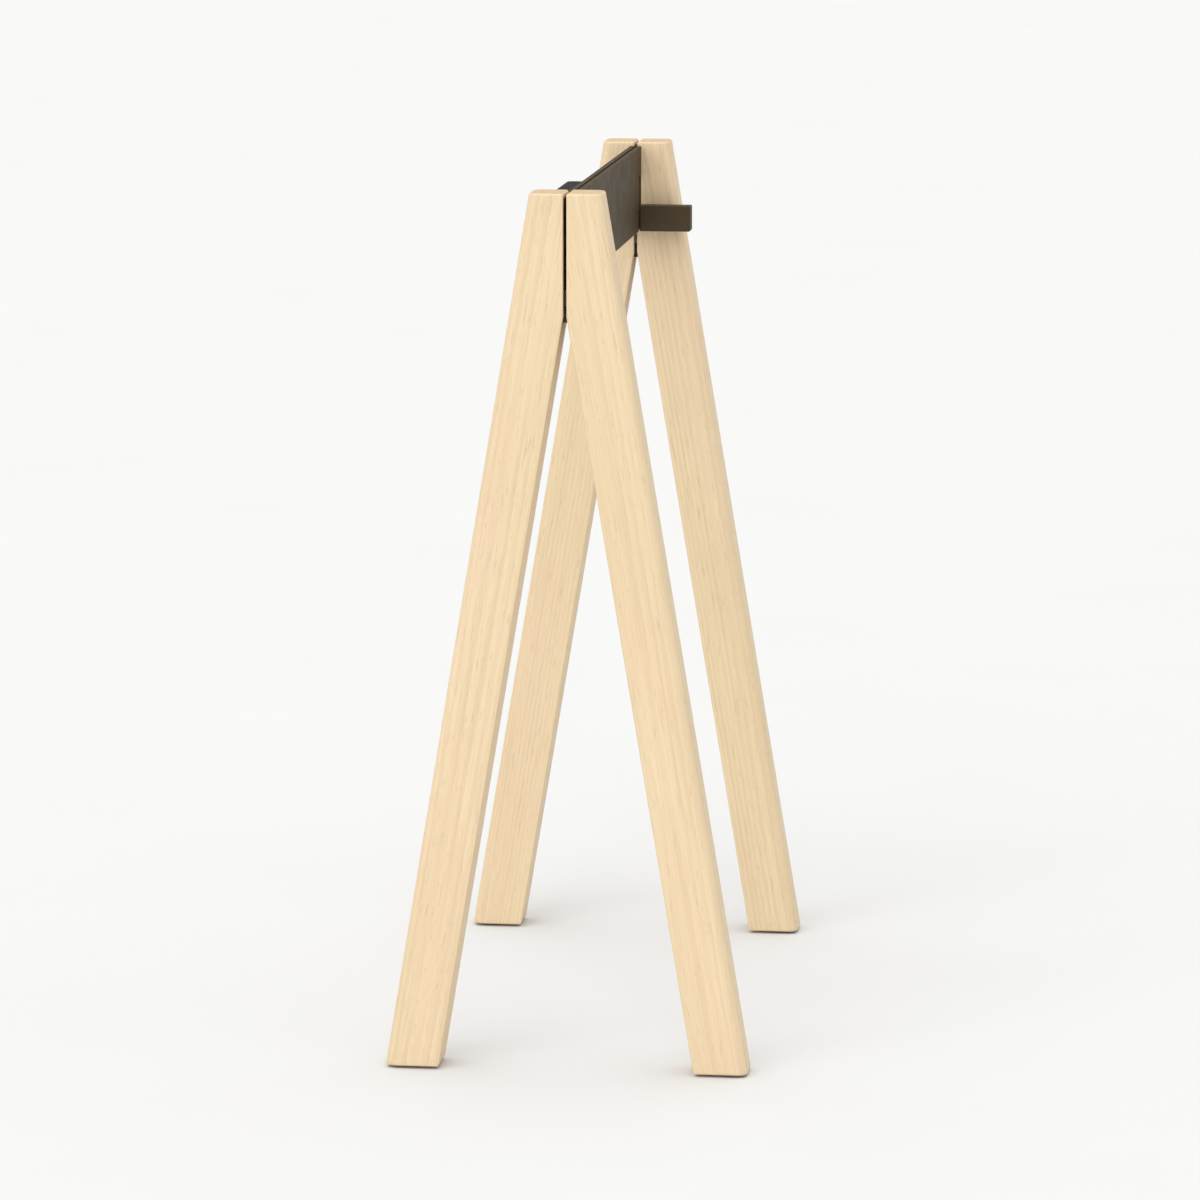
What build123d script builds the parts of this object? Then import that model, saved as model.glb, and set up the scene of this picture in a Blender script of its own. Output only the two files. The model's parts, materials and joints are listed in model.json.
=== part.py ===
"""Folding wooden trestle. Two leg frames are hinged at the foot of their heads and latched at the rear.

Millimetres. +Z is up, X is across the trestle, Y runs along it and +Y is its rear. The origin is on the
floor, under the middle. "Left" is -X and "right" is +X.
"""
from build123d import *
import os
from math import radians, tan

# Overall size
HEIGHT = 720.0
LENGTH = 553.5
LEAN_DEG = 9.5

# Legs: straight boards that lean in X only, cut upright on the inside of the head
LEG_WIDTH_X = 44.4
LEG_DEPTH_Y = 38.7
PIVOT_Z = 621.3
MATING_GAP = 2.8
OUTER_ROUND = 8.0
INNER_ROUND = 1.0
END_ROUND = 2.0

# Glides: discs nailed under the feet
GLIDE_RADIUS = 9.0
GLIDE_HEIGHT = 2.0
GLIDE_EDGE = 0.6
NAIL_RADIUS = 1.2
NAIL_LENGTH = 20.0
NAIL_HEAD_RADIUS = 2.8
NAIL_HEAD_HEIGHT = 0.8
NAIL_RECESS = 1.2
NAIL_HEAD_PLAY = 0.4
NAIL_TIP_RADIUS = 0.2

# Spine plates: flat steel bars let into the mating faces of the legs
PLATE_GAP = 2.0
PLATE_THICKNESS = 4.0
PLATE_BOTTOM_Z = 642.0
PLATE_TOP_Z = 716.0
PLATE_END_COVER = 6.0
PLATE_CORNER = 3.0

# Hinges: butt hinges whose knuckles lie inside the depth of the leg heads
LEAF_THICKNESS = 2.5
LEAF_TOP_Z = 641.6
KNUCKLE_RADIUS = 5.0
OUTER_KNUCKLE = 7.0
WASHER_THICKNESS = 1.0
WASHER_RADIUS = 4.8
AXIAL_PLAY = 0.1
PIN_RADIUS = 2.5
PIN_CHAMFER = 0.5
RUNNING_CLEARANCE = 0.05
POCKET_CLEARANCE = 0.6

# Countersunk screws
LEAF_SCREW = {"head": 3.2, "shank": 1.6, "length": 20.0}
SPINE_SCREW = {"head": 4.5, "shank": 2.2, "length": 25.0}
HANDLE_SCREW = {"head": 4.6, "shank": 2.5, "length": 18.0}
SCREW_RIM = 0.3
SOCKET_SHARE = 0.45
SOCKET_DEPTH = 1.6
SPINE_SCREW_HEIGHTS = (662.0, 683.0, 704.0)
SPINE_SCREW_STAGGER = 7.0
LEAF_SCREW_Z = 634.0
LEAF_SCREW_STEP = 7.5

# Stop buffers: rubber discs bonded to the left plate
BUFFER_RADIUS = 6.0
BUFFER_Z = 700.0
BUFFER_YS = (-190.0, -110.0, 110.0, 190.0)
BUFFER_PLAY = 0.1

# Carry handle: a moulded cup, open underneath, on the left plate, with three shallow grip panels
HANDLE_OUT = 35.0
HANDLE_LENGTH = 126.0
HANDLE_BOTTOM_Z = 650.5
HANDLE_TOP_Z = 700.0
HANDLE_WALL = 3.5
HANDLE_END_BLOCK = 14.0
HANDLE_ROUND = 3.5
HANDLE_EDGE = 1.8
HOLLOW_ROUND = 5.5
HANDLE_SCREW_HEIGHTS = (665.0, 686.0)
PANEL_LENGTH = 32.0
PANEL_PITCH = 38.0
PANEL_DEPTH = 1.2
PANEL_MARGIN = 7.0
PANEL_CORNER = 4.0

# Latch: a lever on the inner face of the rear right leg, hooked over the left plate
LATCH_PIVOT_X = 28.0
LATCH_PIVOT_Z = 653.0
LEVER_FRONT_Y = 219.6
LEVER_LEG_GAP = 0.8
LEVER_LEFT_X = 5.6
LEVER_RIGHT_X = 51.0
LEVER_BOTTOM_Z = 642.0
LEVER_TOP_Z = 664.5
LEVER_EDGE = 1.5
NOSE_END_X = -12.5
NOSE_BOTTOM_Z = 650.2
NOSE_TOP_Z = 661.0
HOOK_INNER_X = -6.8
HOOK_BOTTOM_Z = 647.6
NOSE_SIDE_STEP = 2.5
KEEPER_TOP_Z = 650.0
WINDOW_TOP_Z = 690.0
WINDOW_FRONT_Y = 219.0
SHOULDER_RADIUS = 3.0
LATCH_HEAD_RADIUS = 5.5
LATCH_HEAD_HEIGHT = 3.0
LATCH_HEAD_EDGE = 0.8
LATCH_RECESS_RADIUS = 6.0
LATCH_RECESS = 4.9
LATCH_CAP_THICKNESS = 1.5
LATCH_SOCKET_RADIUS = 2.4
LATCH_THREAD_RADIUS = 2.5
LATCH_THREAD_LENGTH = 20.0
LATCH_WASHER_RADIUS = 5.5
LATCH_WASHER_PLAY = 0.1

# How far a cutting shape runs past the face that it opens
CUT = 1.0

# Worked out from the driving dimensions
SLOPE = tan(radians(LEAN_DEG))
INNER_LEG_Y = LENGTH / 2 - LEG_DEPTH_Y
PLATE_END_Y = LENGTH / 2 - PLATE_END_COVER
HINGE_START_Y = INNER_LEG_Y + PLATE_END_COVER
HINGE_MID_Y = (HINGE_START_Y + PLATE_END_Y) / 2
PLATE_INNER_X = PLATE_GAP / 2
PLATE_OUTER_X = PLATE_INNER_X + PLATE_THICKNESS
POCKET_RADIUS = KNUCKLE_RADIUS + POCKET_CLEARANCE
LEVER_BACK_Y = INNER_LEG_Y - LEVER_LEG_GAP
LEFT, RIGHT = -1, 1
FRONT, REAR = -1, 1
SIDES = {"left": LEFT, "right": RIGHT}
ENDS = {"front": FRONT, "rear": REAR}


def inner_x(z):
    """Distance from the middle to a leg's inner face at height z."""
    return MATING_GAP / 2 + max(0.0, PIVOT_Z - z) * SLOPE


def outer_x(z):
    """Distance from the middle to a leg's outer face at height z."""
    return MATING_GAP / 2 + LEG_WIDTH_X + (PIVOT_Z - z) * SLOPE


def block(x_ends, y_ends, z_ends):
    """A box between two X, two Y and two Z values, given in any order."""
    spans = [sorted(ends) for ends in (x_ends, y_ends, z_ends)]
    sizes = [high - low for low, high in spans]
    middles = [(high + low) / 2 for low, high in spans]
    return Pos(*middles) * Box(*sizes)


def rod_y(x, z, y_ends, radius):
    """A cylinder along Y."""
    low, high = sorted(y_ends)
    return Pos(x, (low + high) / 2, z) * Rot(90, 0, 0) * Cylinder(radius, high - low)


def rod_z(x, y, z_ends, radius):
    """A cylinder along Z."""
    low, high = sorted(z_ends)
    return Pos(x, y, (low + high) / 2) * Cylinder(radius, high - low)


def countersunk_screw(sizes, with_socket):
    """A screw with its head at the origin and its shank down -Z. Without its socket it is the seat."""
    head, shank, length = sizes["head"], sizes["shank"], sizes["length"]
    cone = head - shank
    corners = [
        (0, 0),
        (head, 0),
        (head, -SCREW_RIM),
        (shank, -SCREW_RIM - cone),
        (shank, 2 * shank - length),
        (0, -length),
    ]
    body = revolve(Plane.XZ * make_face(Polyline(*corners, close=True)), Axis.Z)
    if with_socket:
        body -= extrude(RegularPolygon(SOCKET_SHARE * head, 6), amount=-SOCKET_DEPTH)
    return body


def outward_screw(side, y, z, sizes, with_socket):
    """A countersunk screw from the inner face of a side's plate or leaf outwards."""
    turn = 90 if side == LEFT else -90
    return Pos(side * PLATE_INNER_X, y, z) * Rot(0, turn, 0) * countersunk_screw(sizes, with_socket)


def screws_of_spine(side, end, with_socket=True):
    """The three screws of one plate in one leg."""
    screws = []
    for i, z in enumerate(SPINE_SCREW_HEIGHTS):
        stagger = SPINE_SCREW_STAGGER * (1 if i % 2 else -1)
        screws.append(outward_screw(side, end * HINGE_MID_Y + stagger, z, SPINE_SCREW, with_socket))
    return screws


def screws_of_leaf(side, end, with_socket=True):
    """The two screws of one hinge leaf."""
    ys = [end * HINGE_MID_Y + step for step in (-LEAF_SCREW_STEP, LEAF_SCREW_STEP)]
    return [outward_screw(side, y, LEAF_SCREW_Z, LEAF_SCREW, with_socket) for y in ys]


def screws_of_handle(with_socket=True):
    """Four screws from the inner face of the left plate into the end blocks of the handle."""
    reach = HANDLE_LENGTH / 2 - HANDLE_END_BLOCK / 2
    places = [(y, z) for y in (-reach, reach) for z in HANDLE_SCREW_HEIGHTS]
    return [outward_screw(LEFT, y, z, HANDLE_SCREW, with_socket) for y, z in places]


def pivot_screw():
    """Shoulder screw of the latch: head in the lever's recess, shoulder through it, thread in the leg."""
    head_back = LEVER_FRONT_Y + LATCH_RECESS
    head_front = head_back - LATCH_HEAD_HEIGHT
    thread_end = INNER_LEG_Y + LATCH_THREAD_LENGTH
    centre = (LATCH_PIVOT_X, LATCH_PIVOT_Z)
    screw = rod_y(*centre, (head_front, head_back), LATCH_HEAD_RADIUS)
    screw = fillet(screw.edges().group_by(Axis.Y)[0], LATCH_HEAD_EDGE)
    screw += rod_y(*centre, (head_back, INNER_LEG_Y), SHOULDER_RADIUS)
    screw += rod_y(*centre, (INNER_LEG_Y, thread_end), LATCH_THREAD_RADIUS)
    socket = extrude(RegularPolygon(LATCH_SOCKET_RADIUS, 6), amount=-SOCKET_DEPTH)
    return screw - Pos(LATCH_PIVOT_X, head_front, LATCH_PIVOT_Z) * Rot(90, 0, 0) * socket


def nail(side, end):
    """The nail of a glide, with its head in the glide's recess and its point in the leg."""
    x, y = side * foot_middle_x(), end * (INNER_LEG_Y + LEG_DEPTH_Y / 2)
    head = rod_z(x, y, (NAIL_RECESS - NAIL_HEAD_HEIGHT, NAIL_RECESS), NAIL_HEAD_RADIUS)
    shank_top = NAIL_LENGTH - 2 * NAIL_RADIUS
    shank = rod_z(x, y, (NAIL_RECESS, shank_top), NAIL_RADIUS)
    point = Pos(x, y, NAIL_LENGTH - NAIL_RADIUS) * Cone(NAIL_RADIUS, NAIL_TIP_RADIUS, 2 * NAIL_RADIUS)
    return head + shank + point


def foot_middle_x():
    """Distance from the middle to the centre of a foot."""
    return (inner_x(0) + outer_x(0)) / 2


def long_edges(leg, face_x):
    """The long edges of a leg that lie on the face whose distance from the middle is face_x(z)."""
    found = []
    for edge in leg.edges():
        start, end = edge.position_at(0), edge.position_at(1)
        on_face = abs(abs(start.X) - face_x(start.Z)) < 0.01 and abs(abs(end.X) - face_x(end.Z)) < 0.01
        if on_face and abs(start.Z - end.Z) > 1:
            found.append(edge)
    return found


def plate_rebate(side, end):
    """The space that a spine plate takes in a leg's mating face."""
    ys = (end * (INNER_LEG_Y - CUT), end * PLATE_END_Y)
    return block((0, side * PLATE_OUTER_X), ys, (PLATE_BOTTOM_Z, PLATE_TOP_Z))


def hinge_pocket(side, end):
    """The space that a hinge leaf and the knuckles take in a leg's mating face."""
    ys = (end * HINGE_START_Y, end * PLATE_END_Y)
    leaf_space = block((0, side * (PLATE_INNER_X + LEAF_THICKNESS)), ys, (PIVOT_Z, LEAF_TOP_Z))
    return leaf_space + rod_y(0, PIVOT_Z, ys, POCKET_RADIUS)


def leg(side, end):
    """One leg, with its seats for plate, hinge leaf, screws, nail and, on the rear right, the latch screw."""
    outline = [
        (side * inner_x(HEIGHT), HEIGHT),
        (side * outer_x(HEIGHT), HEIGHT),
        (side * outer_x(GLIDE_HEIGHT), GLIDE_HEIGHT),
        (side * inner_x(GLIDE_HEIGHT), GLIDE_HEIGHT),
        (side * inner_x(PIVOT_Z), PIVOT_Z),
    ]
    face = Plane.XZ * make_face(Polyline(*outline, close=True))
    rear_y = max(end * INNER_LEG_Y, end * LENGTH / 2)
    body = Pos(0, rear_y, 0) * extrude(face, amount=LEG_DEPTH_Y)
    body = fillet(long_edges(body, outer_x), OUTER_ROUND)
    body = fillet(body.edges().group_by(Axis.Z)[0], END_ROUND)
    body = fillet(body.edges().group_by(Axis.Z)[-1], END_ROUND)
    body = fillet(long_edges(body, inner_x), INNER_ROUND)
    body -= plate_rebate(side, end)
    body -= hinge_pocket(side, end)
    for seat in screws_of_spine(side, end, False) + screws_of_leaf(side, end, False):
        body -= seat
    body -= nail(side, end)
    if side == RIGHT and end == REAR:
        thread_ys = (INNER_LEG_Y - CUT, INNER_LEG_Y + LATCH_THREAD_LENGTH)
        body -= rod_y(LATCH_PIVOT_X, LATCH_PIVOT_Z, thread_ys, LATCH_THREAD_RADIUS)
    return body


def spine_plate(side):
    """One flat bar that joins the front and rear legs of a side, with its latch opening near the rear leg."""
    xs = (side * PLATE_INNER_X, side * PLATE_OUTER_X)
    plate = block(xs, (-PLATE_END_Y, PLATE_END_Y), (PLATE_BOTTOM_Z, PLATE_TOP_Z))
    plate = fillet(plate.edges().filter_by(Axis.X), PLATE_CORNER)
    floor_z = KEEPER_TOP_Z if side == LEFT else PLATE_BOTTOM_Z - CUT
    plate -= block((0, side * (PLATE_OUTER_X + CUT)), (WINDOW_FRONT_Y, INNER_LEG_Y), (floor_z, WINDOW_TOP_Z))
    for end in ENDS.values():
        for seat in screws_of_spine(side, end, False):
            plate -= seat
    if side == LEFT:
        for seat in screws_of_handle(False):
            plate -= seat
    return plate


def knuckle_spans(end):
    """Y spans of the knuckles and washers of the hinge at one end."""
    low, high = HINGE_START_Y + AXIAL_PLAY, PLATE_END_Y - AXIAL_PLAY
    near, far = low + OUTER_KNUCKLE, high - OUTER_KNUCKLE
    spans = {
        "left": [(low, near), (far, high)],
        "washers": [(near, near + WASHER_THICKNESS), (far - WASHER_THICKNESS, far)],
        "right": [(near + WASHER_THICKNESS + AXIAL_PLAY, far - WASHER_THICKNESS - AXIAL_PLAY)],
    }
    return {name: [(end * start, end * stop) for start, stop in pairs] for name, pairs in spans.items()}


def hinge_leaf(side_name, end):
    """One hinge leaf: a flat flap with rolled knuckles, two on the left leaf and one on the right."""
    side = SIDES[side_name]
    spans = knuckle_spans(end)
    flap_bottom = PIVOT_Z + KNUCKLE_RADIUS + POCKET_CLEARANCE
    xs = (side * PLATE_INNER_X, side * (PLATE_INNER_X + LEAF_THICKNESS))
    ends_y = (end * (HINGE_START_Y + AXIAL_PLAY), end * (PLATE_END_Y - AXIAL_PLAY))
    leaf = block(xs, ends_y, (flap_bottom, LEAF_TOP_Z))
    hole_radius = PIN_RADIUS if side == LEFT else PIN_RADIUS + RUNNING_CLEARANCE
    for span in spans[side_name]:
        leaf += block(xs, span, (PIVOT_Z, flap_bottom))
        leaf += rod_y(0, PIVOT_Z, span, KNUCKLE_RADIUS)
    leaf -= rod_y(0, PIVOT_Z, ends_y, hole_radius)
    for seat in screws_of_leaf(side, end, False):
        leaf -= seat
    return leaf


def hinge_pin(end):
    """The pin through all three knuckles, with chamfered ends."""
    ys = (end * (HINGE_START_Y + AXIAL_PLAY), end * (PLATE_END_Y - AXIAL_PLAY))
    pin = rod_y(0, PIVOT_Z, ys, PIN_RADIUS)
    return chamfer(pin.edges().filter_by(GeomType.CIRCLE), PIN_CHAMFER)


def hinge_washers(end):
    """The two washers between the knuckles of a hinge."""
    washers = []
    for span in knuckle_spans(end)["washers"]:
        ring = rod_y(0, PIVOT_Z, span, WASHER_RADIUS) - rod_y(0, PIVOT_Z, span, PIN_RADIUS)
        washers.append(ring)
    return washers


def stop_buffers():
    """Rubber discs on the left plate that the right plate closes against."""
    thickness = PLATE_GAP - BUFFER_PLAY
    middle_x = -PLATE_INNER_X + thickness / 2
    disc = Rot(0, 90, 0) * Cylinder(BUFFER_RADIUS, thickness)
    return [Pos(middle_x, y, BUFFER_Z) * disc for y in BUFFER_YS]


def carry_handle():
    """The cup handle: rounded outside, hollow and open underneath, with solid end blocks for its screws."""
    back_x = -PLATE_OUTER_X
    front_x = back_x - HANDLE_OUT
    half = HANDLE_LENGTH / 2
    shell = block((back_x, front_x), (-half, half), (HANDLE_BOTTOM_Z, HANDLE_TOP_Z))
    shell = fillet(shell.edges().filter_by(Axis.Z).group_by(Axis.X)[0], HANDLE_ROUND)
    outer_edges = [edge for edge in shell.edges() if edge.center().X < back_x - CUT]
    shell = fillet([edge for edge in outer_edges if abs(edge.tangent_at(0.5).Z) < 0.5], HANDLE_EDGE)
    hollow_y = half - HANDLE_END_BLOCK
    hollow_xs = (back_x - HANDLE_WALL, front_x + HANDLE_WALL)
    hollow = block(hollow_xs, (-hollow_y, hollow_y), (HANDLE_BOTTOM_Z - CUT, HANDLE_TOP_Z - HANDLE_WALL))
    shell -= fillet(hollow.edges().filter_by(Axis.Y).group_by(Axis.Z)[-1], HOLLOW_ROUND)
    for panel in grip_panels(front_x):
        shell -= panel
    for seat in screws_of_handle(False):
        shell -= seat
    return shell


def grip_panels(face_x):
    """The three shallow recesses in the outer face of the handle."""
    zs = (HANDLE_BOTTOM_Z + PANEL_MARGIN, HANDLE_TOP_Z - PANEL_MARGIN)
    panels = []
    for middle_y in (-PANEL_PITCH, 0, PANEL_PITCH):
        ys = (middle_y - PANEL_LENGTH / 2, middle_y + PANEL_LENGTH / 2)
        panel = block((face_x - CUT, face_x + PANEL_DEPTH), ys, zs)
        panels.append(fillet(panel.edges().filter_by(Axis.X), PANEL_CORNER))
    return panels


def latch_lever():
    """The latch: a thick bar with a finger tab outside the leg, and a hooked nose through both plates."""
    ys = (LEVER_FRONT_Y, LEVER_BACK_Y)
    bar = block((LEVER_LEFT_X, LEVER_RIGHT_X), ys, (LEVER_BOTTOM_Z, LEVER_TOP_Z))
    tab_edges = bar.edges().filter_by(Axis.Y).group_by(Axis.X)[-1]
    bar = fillet(bar.edges().filter_by(Axis.Z) + tab_edges, LEVER_EDGE)
    nose_ys = (LEVER_FRONT_Y + NOSE_SIDE_STEP, LEVER_BACK_Y - NOSE_SIDE_STEP)
    nose = block((NOSE_END_X, LEVER_LEFT_X + LEVER_EDGE), nose_ys, (NOSE_BOTTOM_Z, NOSE_TOP_Z))
    hook = block((NOSE_END_X, HOOK_INNER_X), nose_ys, (HOOK_BOTTOM_Z, NOSE_TOP_Z))
    lever = bar + nose + hook
    centre = (LATCH_PIVOT_X, LATCH_PIVOT_Z)
    lever -= rod_y(*centre, (LEVER_FRONT_Y, LEVER_BACK_Y + CUT), SHOULDER_RADIUS + RUNNING_CLEARANCE)
    recess_ys = (LEVER_FRONT_Y - CUT, LEVER_FRONT_Y + LATCH_RECESS + AXIAL_PLAY)
    lever -= rod_y(*centre, recess_ys, LATCH_RECESS_RADIUS)
    return lever


def latch_cap():
    """The flush cap pressed into the lever's recess, over the head of the pivot screw."""
    ys = (LEVER_FRONT_Y, LEVER_FRONT_Y + LATCH_CAP_THICKNESS)
    return rod_y(LATCH_PIVOT_X, LATCH_PIVOT_Z, ys, LATCH_RECESS_RADIUS)


def latch_washer():
    """The washer between the lever and the leg."""
    ys = (LEVER_BACK_Y + LATCH_WASHER_PLAY, INNER_LEG_Y)
    centre = (LATCH_PIVOT_X, LATCH_PIVOT_Z)
    return rod_y(*centre, ys, LATCH_WASHER_RADIUS) - rod_y(*centre, ys, SHOULDER_RADIUS)


def glide(side, end):
    """The disc under a foot, with a recess for its nail."""
    x, y = side * foot_middle_x(), end * (INNER_LEG_Y + LEG_DEPTH_Y / 2)
    disc = rod_z(x, y, (0, GLIDE_HEIGHT), GLIDE_RADIUS)
    disc = fillet(disc.edges().group_by(Axis.Z)[0], GLIDE_EDGE)
    disc -= rod_z(x, y, (-CUT, NAIL_RECESS), NAIL_HEAD_RADIUS + NAIL_HEAD_PLAY)
    return disc - nail(side, end)


def build_nodes():
    """Every node of the trestle, by name. A list is a group of separate solids."""
    nodes = {
        "stop_buffers": stop_buffers(),
        "carry_handle": carry_handle(),
        "handle_screws": screws_of_handle(),
        "latch_lever": latch_lever(),
        "latch_cap": latch_cap(),
        "latch_pivot_screw": pivot_screw(),
        "latch_washer": latch_washer(),
    }
    for side_name, side in SIDES.items():
        nodes[f"spine_plate_{side_name}"] = spine_plate(side)
        for end_name, end in ENDS.items():
            place = f"{end_name}_{side_name}"
            nodes[f"leg_{place}"] = leg(side, end)
            nodes[f"hinge_leaf_{place}"] = hinge_leaf(side_name, end)
            nodes[f"leaf_screws_{place}"] = screws_of_leaf(side, end)
            nodes[f"spine_screws_{place}"] = screws_of_spine(side, end)
            nodes[f"glide_{place}"] = glide(side, end)
            nodes[f"glide_nail_{place}"] = nail(side, end)
    for end_name, end in ENDS.items():
        nodes[f"hinge_pin_{end_name}"] = hinge_pin(end)
        nodes[f"hinge_washers_{end_name}"] = hinge_washers(end)
    return nodes


os.makedirs("parts", exist_ok=True)
for name, shape in build_nodes().items():
    solid_group = Compound(children=shape) if isinstance(shape, list) else shape
    export_step(solid_group, f"parts/{name}.step")
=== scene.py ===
import json
import math

import bpy
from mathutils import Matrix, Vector

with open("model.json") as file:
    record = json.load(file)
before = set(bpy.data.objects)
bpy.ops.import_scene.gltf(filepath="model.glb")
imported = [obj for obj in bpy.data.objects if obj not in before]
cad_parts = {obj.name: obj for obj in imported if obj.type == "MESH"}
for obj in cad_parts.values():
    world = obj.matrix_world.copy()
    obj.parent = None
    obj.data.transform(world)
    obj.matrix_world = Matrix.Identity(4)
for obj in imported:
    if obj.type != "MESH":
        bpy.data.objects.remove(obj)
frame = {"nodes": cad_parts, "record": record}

# Sizes are in metres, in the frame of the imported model: +Z up, X across the trestle, Y along it.
LEAN = math.radians(9.5)  # how far each leg, and so its grain, leans from upright
CAMERA_PLACE = Vector((0.512, -4.398, 1.0965))
CAMERA_TARGET = Vector((-0.004, 0.0, 0.346))
CAMERA_LENS_MM = 157.0
SENSOR_MM = 36.0
FLOOR_HALF = 60.0
SKY_STRENGTH = 2.4
SKY_STOPS = ((0.0, 0.42), (0.08, 0.42), (0.16, 0.22), (0.60, 0.24), (1.0, 1.0))  # sine of elevation, level
KEY_TOWARDS = (-0.25, -0.80, 0.50)  # from the trestle to the key light
KEY_STRENGTH = 1.2
KEY_SPREAD_DEG = 60

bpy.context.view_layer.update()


# ---------------------------------------------------------------- shader helpers
BEVEL_SAMPLES = 4


class Shader:
    """A material's node tree with short calls to add and join nodes."""

    def __init__(self, name):
        self.material = bpy.data.materials.new(name)
        self.material.use_nodes = True
        self.tree = self.material.node_tree
        self.surface = self.tree.nodes["Principled BSDF"]

    def node(self, kind, inputs=None, **settings):
        """Adds a node. inputs maps a socket's name or number to a value or to another node's output."""
        made = self.tree.nodes.new(kind)
        for key, value in settings.items():
            setattr(made, key, value)
        for key, value in (inputs or {}).items():
            self.feed(made.inputs[key], value)
        return made

    def feed(self, socket, value):
        """Links an output to a socket, or sets the socket's own value."""
        if isinstance(value, bpy.types.NodeSocket):
            self.tree.links.new(value, socket)
        else:
            socket.default_value = value

    def math(self, operation, a, b=0.0):
        return self.node("ShaderNodeMath", {0: a, 1: b}, operation=operation).outputs[0]

    def place(self, scale=(1, 1, 1), rotation=(0, 0, 0), offset=(0, 0, 0)):
        """Object coordinates, moved, turned and scaled."""
        coordinates = self.node("ShaderNodeTexCoord").outputs["Object"]
        inputs = {"Vector": coordinates, "Rotation": rotation, "Location": offset}
        return self.scaled(self.node("ShaderNodeMapping", inputs).outputs[0], scale)

    def scaled(self, vector, scale):
        return self.node("ShaderNodeVectorMath", {0: vector, 1: scale}, operation="MULTIPLY").outputs[0]

    def noise(self, vector, scale, detail=3.0, roughness=0.5, distortion=0.0):
        """Soft noise, with scale features in each metre."""
        inputs = {"Vector": vector, "Scale": scale, "Detail": detail}
        inputs |= {"Roughness": roughness, "Distortion": distortion}
        return self.node("ShaderNodeTexNoise", inputs).outputs["Fac"]

    def ramp(self, factor, low, high, low_value=0.0, high_value=1.0):
        """Maps low..high to low_value..high_value, smoothly and held at both ends."""
        inputs = {"Value": factor, 1: low, 2: high, 3: low_value, 4: high_value}
        made = self.node("ShaderNodeMapRange", inputs, interpolation_type="SMOOTHSTEP")
        return made.outputs[0]

    def mix(self, factor, a, b):
        """Goes from colour a to colour b as the factor goes from 0 to 1."""
        made = self.node("ShaderNodeMix", data_type="RGBA")
        for index, value in ((0, factor), (6, a), (7, b)):
            self.feed(made.inputs[index], value)
        return made.outputs[2]

    def eased(self, radius):
        """The normal of a surface whose edges are eased by the given radius."""
        return self.node("ShaderNodeBevel", {"Radius": radius}, samples=BEVEL_SAMPLES).outputs[0]

    def bump(self, height, strength, distance, normal):
        """Fine relief on top of an eased normal."""
        inputs = {"Height": height, "Strength": strength, "Distance": distance, "Normal": normal}
        return self.node("ShaderNodeBump", inputs).outputs[0]

    def edges(self, eased_normal):
        """0 on flat faces, rising to 1 along edges: how far the eased normal leaves the true one."""
        true_normal = self.node("ShaderNodeNewGeometry").outputs["Normal"]
        dot = self.node("ShaderNodeVectorMath", {0: eased_normal, 1: true_normal}, operation="DOT_PRODUCT")
        return self.ramp(dot.outputs["Value"], 0.995, 0.90)

    def finish(self, **sockets):
        """Feeds the surface's sockets; an underscore in a name stands for a space."""
        for key, value in sockets.items():
            self.feed(self.surface.inputs[key.replace("_", " ")], value)
        return self.material


def rgb(red, green, blue):
    """A linear colour from 0..255 display values."""
    def linear(value):
        share = value / 255
        return share / 12.92 if share <= 0.04045 else ((share + 0.055) / 1.055) ** 2.4
    return (linear(red), linear(green), linear(blue), 1.0)


# ---------------------------------------------------------------- materials
FLOOR_TONE = rgb(213, 213, 212)
FLOOR_MOTTLE = rgb(216, 216, 215)
FLOOR_MOTTLE_SCALE = 3.0  # every noise scale is in features per metre
WOOD_PINK = rgb(230, 207, 173)
WOOD_YELLOW = rgb(229, 208, 171)
WOOD_LINE = rgb(203, 174, 136)
WOOD_PORE = rgb(168, 136, 98)
END_GRAIN = rgb(186, 154, 116)
RING_PITCH = 0.0027
RING_WANDER = 0.006  # how far the growth rings stray from true circles
END_RING_STRENGTH = 0.30  # how much more the rings show on end grain
END_STRENGTH = 0.60
SHADE_STRENGTH = 0.22
FIBRE_STRENGTH = 0.30
FLECK_STRENGTH = 0.26
PORE_STRENGTH = 0.42
EDGE_WEAR = 0.20
# Noises in the wood: scale along the grain as a share of the scale across it, scale, detail and roughness
RING_DRIFT = (0.06, 12.0, 2.0, 0.5)
RING_CLARITY = (0.03, 150.0, 2.0, 0.5)
FIBRES = (0.02, 1000.0, 4.0, 0.6)
FLECKS = (0.075, 640.0, 2.0, 0.6)
PORES = (0.05, 2100.0, 1.0, 0.5)
SHADE = (0.10, 40.0, 3.0, 0.5)
HUE = (0.15, 16.0, 1.0, 0.5)
COAT_PEEL_SCALE = 1400.0
COAT_PATCH_SCALE = 60.0
COAT_SCUFF_SCALE = 500.0
COAT_WEAR_SCALE = 260.0
PLASTIC_GRAIN_SCALE = 2600.0
PLASTIC_FLOW_SCALE = 35.0
TURNING_SCALE = 2400.0
BLOTCH_SCALE = 420.0
DUST_SCALE = 700.0
WOOD_EDGE = 0.0008  # radius by which each material eases its edges
STEEL_EDGE = 0.0006
PLASTIC_EDGE = 0.0008
HARDWARE_EDGE = 0.0003
WOOD_RELIEF = 0.00035  # height of each material's fine relief
COAT_RELIEF = 0.0001
PLASTIC_RELIEF = 0.00012
TURNING_RELIEF = 0.00008
DUST_RELIEF = 0.0002


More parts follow.
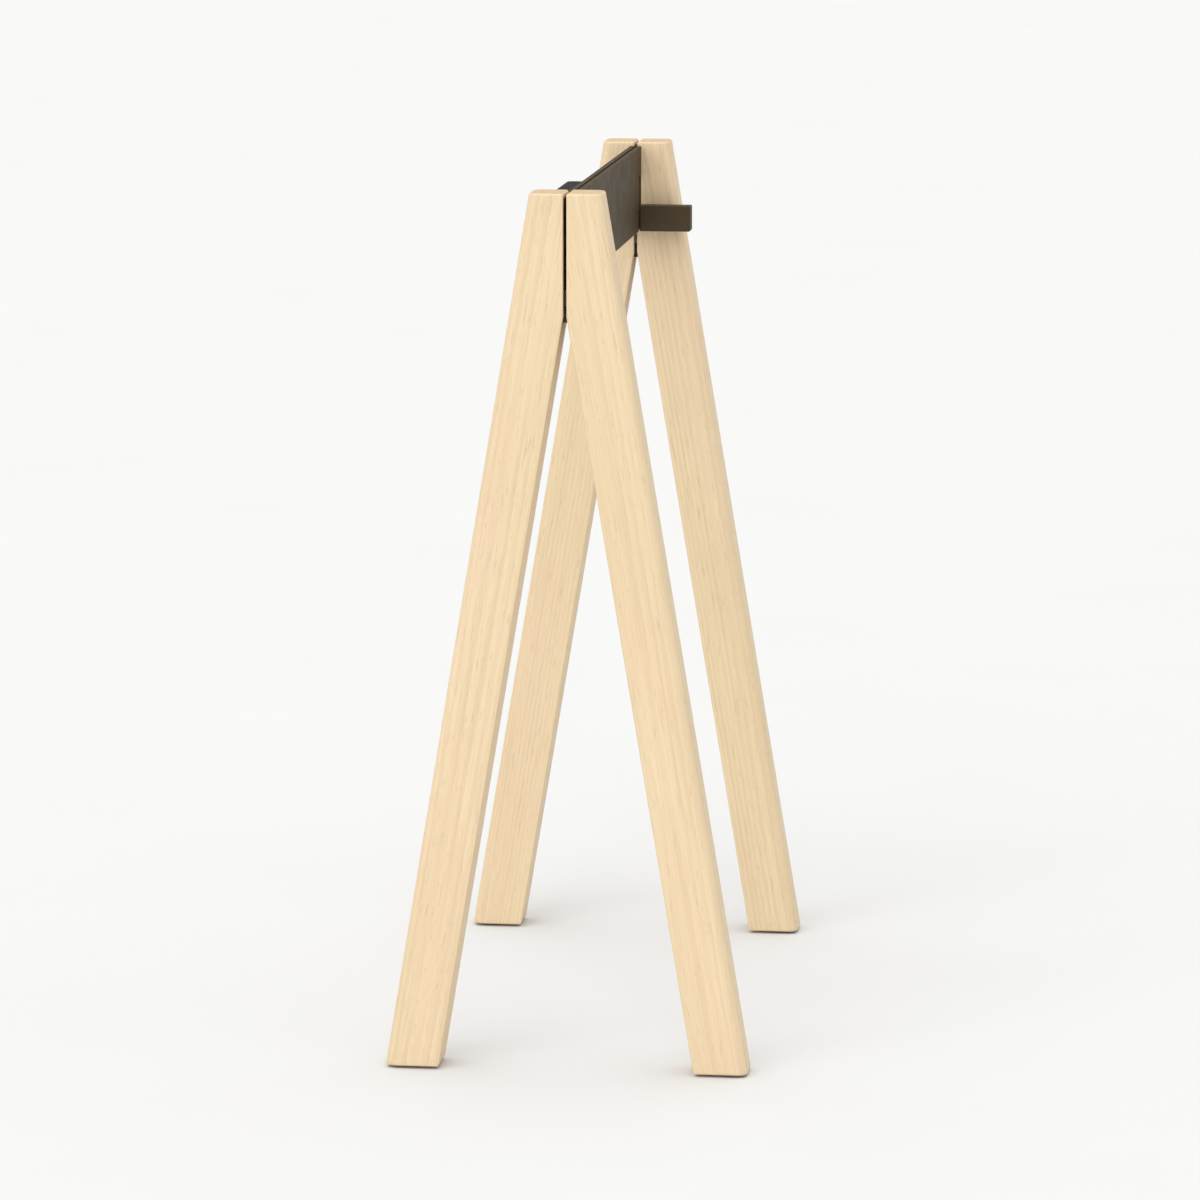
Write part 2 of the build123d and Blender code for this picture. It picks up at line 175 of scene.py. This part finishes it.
def wood(name, side, offset, pith):
    """Pale, straight-grained hardwood under clear matt lacquer, with its grain along the leg.

    Growth rings are arcs about a pith well outside the board, so that the ends show arcs and the sides show
    lines. Over them lie fibres, short flecks and open pores, all drawn out along the grain.
    """
    s = Shader(name)
    eased = s.eased(WOOD_EDGE)
    board = s.place(rotation=(0, side * LEAN, 0), offset=offset)

    def grain(share, scale, detail, roughness):
        """Noise that is drawn out along the board."""
        return s.noise(s.scaled(board, (1, 1, share)), scale, detail, roughness)

    # Growth rings: each darkens slowly towards its outer edge, and all of them show more on end grain
    split = s.node("ShaderNodeSeparateXYZ", {0: board})
    far_x = s.math("ADD", split.outputs["X"], pith[0])
    far_y = s.math("ADD", split.outputs["Y"], pith[1])
    radius = s.math("SQRT", s.math("ADD", s.math("POWER", far_x, 2.0), s.math("POWER", far_y, 2.0)))
    wander = s.math("MULTIPLY", s.math("SUBTRACT", grain(*RING_DRIFT), 0.5), RING_WANDER)
    within = s.math("FRACT", s.math("DIVIDE", s.math("ADD", radius, wander), RING_PITCH))
    late = s.math("MULTIPLY", s.ramp(within, 0.20, 0.90), s.ramp(within, 1.0, 0.93))
    own_normal = s.node("ShaderNodeTexCoord").outputs["Normal"]
    upright = s.math("ABSOLUTE", s.node("ShaderNodeSeparateXYZ", {0: own_normal}).outputs["Z"])
    end_face = s.ramp(upright, 0.70, 0.95)
    ring_strength = s.ramp(grain(*RING_CLARITY), 0.35, 0.65, 0.10, 0.34)
    ring_strength = s.math("ADD", ring_strength, s.math("MULTIPLY", end_face, END_RING_STRENGTH))

    fibres = grain(*FIBRES)
    flecks = s.ramp(grain(*FLECKS), 0.60, 0.72)
    pores = s.ramp(grain(*PORES), 0.66, 0.74)
    porous = s.math("MULTIPLY", pores, s.ramp(within, 0.55, 0.10, 0.35, 1.0))

    colour = s.mix(s.ramp(grain(*HUE), 0.35, 0.65), WOOD_PINK, WOOD_YELLOW)
    colour = s.mix(s.ramp(grain(*SHADE), 0.30, 0.75, 0.0, SHADE_STRENGTH), colour, WOOD_LINE)
    colour = s.mix(s.ramp(fibres, 0.42, 0.72, 0.0, FIBRE_STRENGTH), colour, WOOD_LINE)
    colour = s.mix(s.math("MULTIPLY", late, ring_strength), colour, WOOD_LINE)
    colour = s.mix(s.math("MULTIPLY", flecks, FLECK_STRENGTH), colour, WOOD_PORE)
    colour = s.mix(s.math("MULTIPLY", porous, PORE_STRENGTH), colour, WOOD_PORE)
    colour = s.mix(s.math("MULTIPLY", end_face, END_STRENGTH), colour, END_GRAIN)
    colour = s.mix(s.math("MULTIPLY", s.edges(eased), EDGE_WEAR), colour, WOOD_LINE)

    height = s.math("SUBTRACT", s.math("MULTIPLY", fibres, 0.5), s.math("MULTIPLY", porous, 0.9))
    rough = s.math("ADD", s.ramp(fibres, 0.3, 0.8, 0.46, 0.60), s.math("MULTIPLY", porous, 0.15))
    relief = s.bump(height, 0.30, WOOD_RELIEF, eased)
    return s.finish(Base_Color=colour, Roughness=rough, Normal=relief, Specular_IOR_Level=0.30)


def coated_steel(name, base, edge, rough=0.60):
    """Matt powder-coated steel: fine orange peel, faint patches of gloss, and edges rubbed lighter."""
    s = Shader(name)
    eased = s.eased(STEEL_EDGE)
    peel = s.noise(s.place(), COAT_PEEL_SCALE, 2.0)
    patches = s.noise(s.place(), COAT_PATCH_SCALE, 4.0)
    scuffs = s.ramp(s.noise(s.place(scale=(1, 0.08, 1)), COAT_SCUFF_SCALE, 3.0), 0.68, 0.80)
    rubbed = s.ramp(s.noise(s.place(), COAT_WEAR_SCALE, 3.0), 0.35, 0.60)
    worn = s.math("MULTIPLY", s.edges(eased), rubbed)
    colour = s.mix(s.ramp(patches, 0.3, 0.7, 0.0, 0.06), base, edge)
    colour = s.mix(s.math("MULTIPLY", scuffs, 0.16), colour, edge)
    colour = s.mix(s.math("MULTIPLY", worn, 0.60), colour, edge)
    patchy_rough = s.ramp(patches, 0.3, 0.7, rough - 0.05, rough + 0.06)
    rough_all = s.math("ADD", patchy_rough, s.math("MULTIPLY", scuffs, 0.1))
    relief = s.bump(peel, 0.30, COAT_RELIEF, eased)
    return s.finish(Base_Color=colour, Roughness=rough_all, Normal=relief, Specular_IOR_Level=0.10)


def moulded_plastic(name, base, edge, rough):
    """Moulded plastic with a fine spark-eroded grain, faint flow marks and edges polished by hands, which
    are smoother and carry a painted sheen: their colour is lifted towards the lighter tone.
    """
    s = Shader(name)
    eased = s.eased(PLASTIC_EDGE)
    texture = s.noise(s.place(), PLASTIC_GRAIN_SCALE, 2.0, 0.6)
    flow = s.noise(s.place(scale=(1, 0.3, 1)), PLASTIC_FLOW_SCALE, 3.0, 0.5, 0.6)
    polished_with_painted_sheen = s.edges(eased)
    colour = s.mix(s.ramp(flow, 0.35, 0.7, 0.0, 0.35), base, edge)
    # Painted sheen: along the polished edges the colour is lifted towards the lighter tone, while the
    # smoothing below is real.
    colour = s.mix(s.math("MULTIPLY", polished_with_painted_sheen, 0.5), colour, edge)
    flow_rough = s.ramp(flow, 0.3, 0.7, rough, rough + 0.08)
    rough_all = s.math("SUBTRACT", flow_rough, s.math("MULTIPLY", polished_with_painted_sheen, 0.10))
    relief = s.bump(texture, 0.35, PLASTIC_RELIEF, eased)
    return s.finish(Base_Color=colour, Roughness=rough_all, Normal=relief, Specular_IOR_Level=0.08)


def bare_steel(name, base, dull, bright):
    """Zinc-plated or blackened steel: turned marks, small blotches and a brighter worn edge."""
    s = Shader(name)
    eased = s.eased(HARDWARE_EDGE)
    turned = s.noise(s.place(scale=(1, 1, 0.05)), TURNING_SCALE, 2.0)
    blotch = s.noise(s.place(), BLOTCH_SCALE, 3.0)
    colour = s.mix(s.ramp(blotch, 0.35, 0.7), base, dull)
    colour = s.mix(s.math("MULTIPLY", s.edges(eased), 0.5), colour, bright)
    rough = s.ramp(blotch, 0.3, 0.7, 0.28, 0.42)
    relief = s.bump(turned, 0.2, TURNING_RELIEF, eased)
    return s.finish(Base_Color=colour, Metallic=1.0, Roughness=rough, Normal=relief)


def rubber(name, base, light):
    """Matt rubber with a dusty bloom."""
    s = Shader(name)
    eased = s.eased(PLASTIC_EDGE)
    dust = s.noise(s.place(), DUST_SCALE, 4.0, 0.6)
    colour = s.mix(s.ramp(dust, 0.45, 0.75, 0.0, 0.5), base, light)
    rough = s.ramp(dust, 0.3, 0.7, 0.7, 0.85)
    relief = s.bump(dust, 0.3, DUST_RELIEF, eased)
    return s.finish(Base_Color=colour, Roughness=rough, Normal=relief)


# Each leg's board: the side it leans to, its place in the wood's pattern, and the pith's offset in X and Y
LEG_BOARDS = {
    "leg_front_left": (-1, (0.031, 0.017, 0.21), (0.16, 0.05)),
    "leg_front_right": (1, (0.083, 0.142, 0.57), (-0.19, 0.07)),
    "leg_rear_left": (-1, (0.127, 0.069, 0.93), (0.13, -0.44)),
    "leg_rear_right": (1, (0.191, 0.213, 0.35), (-0.34, -0.41)),
}
MATERIALS = {
    # The brown coat is dark in itself, and its base colours are darker still: painted shade standing in for
    # a tabletop above, which is not in the scene.
    "brown_steel": coated_steel("brown_steel", rgb(72, 60, 42), rgb(106, 92, 70)),
    "brown_lever": coated_steel("brown_lever", rgb(72, 61, 45), rgb(108, 95, 74), 0.56),
    "black_plastic": moulded_plastic("black_plastic", rgb(35, 35, 32), rgb(54, 54, 51), 0.60),
    "dark_plastic": moulded_plastic("dark_plastic", rgb(78, 74, 68), rgb(118, 112, 104), 0.5),
    "dark_nylon": moulded_plastic("dark_nylon", rgb(56, 53, 49), rgb(84, 80, 74), 0.55),
    "zinc_steel": bare_steel("zinc_steel", rgb(196, 196, 192), rgb(160, 160, 156), rgb(225, 225, 222)),
    "black_steel": bare_steel("black_steel", rgb(62, 61, 60), rgb(40, 40, 39), rgb(122, 120, 117)),
    "black_rubber": rubber("black_rubber", rgb(28, 28, 28), rgb(62, 61, 59)),
}


def dress(node_name, material):
    """Gives a CAD node its material."""
    mesh = frame["nodes"][node_name].data
    mesh.materials.clear()
    mesh.materials.append(material)


for part in frame["record"]["subparts"]:
    node_name = part["node"]
    if node_name in LEG_BOARDS:
        dress(node_name, wood(node_name + "_wood", *LEG_BOARDS[node_name]))
    else:
        dress(node_name, MATERIALS[part["material_slot"]])


# ---------------------------------------------------------------- stage, light and camera
def floor():
    """A wide, plain pale floor."""
    mesh = bpy.data.meshes.new("floor")
    corners = [(-FLOOR_HALF, -FLOOR_HALF, 0), (FLOOR_HALF, -FLOOR_HALF, 0)]
    corners += [(FLOOR_HALF, FLOOR_HALF, 0), (-FLOOR_HALF, FLOOR_HALF, 0)]
    mesh.from_pydata(corners, [], [(0, 1, 2, 3)])
    made = bpy.data.objects.new("floor", mesh)
    bpy.context.scene.collection.objects.link(made)
    s = Shader("floor_paint")
    mottle = s.noise(s.place(), FLOOR_MOTTLE_SCALE)
    colour = s.mix(mottle, FLOOR_TONE, FLOOR_MOTTLE)
    mesh.materials.append(s.finish(Base_Color=colour, Roughness=0.9, Specular_IOR_Level=0.0))


def sky():
    """Even white light from all round: bright overhead and in a band at the horizon, softer between them."""
    world = bpy.data.worlds.new("studio")
    world.use_nodes = True
    nodes = world.node_tree.nodes
    links = world.node_tree.links
    direction = nodes.new("ShaderNodeTexCoord")
    split = nodes.new("ShaderNodeSeparateXYZ")
    ramp = nodes.new("ShaderNodeValToRGB")
    links.new(direction.outputs["Generated"], split.inputs[0])
    links.new(split.outputs["Z"], ramp.inputs["Fac"])
    stops = ramp.color_ramp.elements
    while len(stops) < len(SKY_STOPS):
        stops.new(1.0)
    for stop, (height, level) in zip(stops, SKY_STOPS):
        stop.position = height
        stop.color = (level, level, level, 1.0)
    background = nodes["Background"]
    links.new(ramp.outputs["Color"], background.inputs["Color"])
    background.inputs["Strength"].default_value = SKY_STRENGTH
    bpy.context.scene.world = world


def key_light():
    """A wide, soft white light from the front, equally strong everywhere."""
    light = bpy.data.lights.new("key", "SUN")
    light.energy = KEY_STRENGTH
    light.angle = math.radians(KEY_SPREAD_DEG)
    made = bpy.data.objects.new("key", light)
    made.rotation_euler = Vector(KEY_TOWARDS).to_track_quat("Z", "Y").to_euler()
    bpy.context.scene.collection.objects.link(made)


def camera():
    """A long-lens view from the front, a little from the right and from above."""
    lens = bpy.data.cameras.new("camera")
    lens.lens = CAMERA_LENS_MM
    lens.sensor_width = SENSOR_MM
    lens.clip_end = 4 * FLOOR_HALF
    made = bpy.data.objects.new("camera", lens)
    made.location = CAMERA_PLACE
    made.rotation_euler = (CAMERA_TARGET - CAMERA_PLACE).to_track_quat("-Z", "Y").to_euler()
    bpy.context.scene.collection.objects.link(made)
    bpy.context.scene.camera = made


floor()
sky()
key_light()
camera()
bpy.context.scene.view_settings.view_transform = "Standard"
